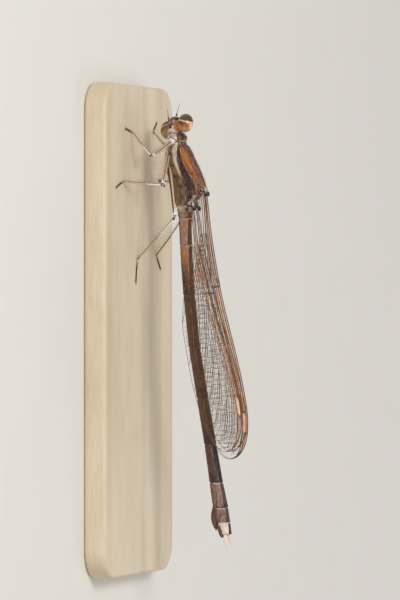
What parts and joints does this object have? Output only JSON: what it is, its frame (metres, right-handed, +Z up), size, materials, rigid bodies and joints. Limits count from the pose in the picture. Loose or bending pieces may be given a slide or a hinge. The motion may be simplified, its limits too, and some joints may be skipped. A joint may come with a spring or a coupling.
{
  "type": "winter damselfly model",
  "caption": "Life-size still model of a female winter damselfly at rest, wings folded along one side of its slender body, standing on its legs on a small flat base.",
  "frame": {"origin": "middle of the base's flat underside", "axes": "+X from head to tail, +Y to the insect's right side, +Z up from the base"},
  "size_m": [0.042, 0.019, 0.0121],
  "materials": {
    "cuticle": "satin brown shell with orange, cream and blackish bands",
    "pale_cuticle": "matt pinkish white shell",
    "eye": "finely faceted satin eye, brown above and pale below",
    "leg": "pale tan with dark stripes and fine bristles",
    "wing": "clear film with a faint amber tint and dark veins",
    "base": "pale plain painted wood"
  },
  "bodies": {
    "root": {"stand_base": "base", "thorax": "cuticle", "prothorax": "cuticle", "abdomen_1": "cuticle", "abdomen_2": "cuticle", "abdomen_3": "cuticle", "abdomen_4": "cuticle", "abdomen_5": "cuticle", "abdomen_6": "cuticle", "abdomen_7": "cuticle", "abdomen_8": "cuticle", "abdomen_9": "cuticle", "abdomen_10": "cuticle", "ovipositor": "cuticle", "cercus_left": "pale_cuticle", "cercus_right": "pale_cuticle", "head": "cuticle", "neck": "pale_cuticle", "mouthparts": "pale_cuticle", "eye_left": "eye", "eye_right": "eye", "antenna_left": "leg", "antenna_right": "leg", "leg_front_left_femur": "leg", "leg_front_left_tibia": "leg", "leg_front_left_tarsus": "leg", "leg_front_right_femur": "leg", "leg_front_right_tibia": "leg", "leg_front_right_tarsus": "leg", "leg_middle_left_femur": "leg", "leg_middle_left_tibia": "leg", "leg_middle_left_tarsus": "leg", "leg_middle_right_femur": "leg", "leg_middle_right_tibia": "leg", "leg_middle_right_tarsus": "leg", "leg_hind_left_femur": "leg", "leg_hind_left_tibia": "leg", "leg_hind_left_tarsus": "leg", "leg_hind_right_femur": "leg", "leg_hind_right_tibia": "leg", "leg_hind_right_tarsus": "leg", "forewing_left": "wing", "forewing_right": "wing", "hindwing_left": "wing", "hindwing_right": "wing"}
  },
  "joints": []
}
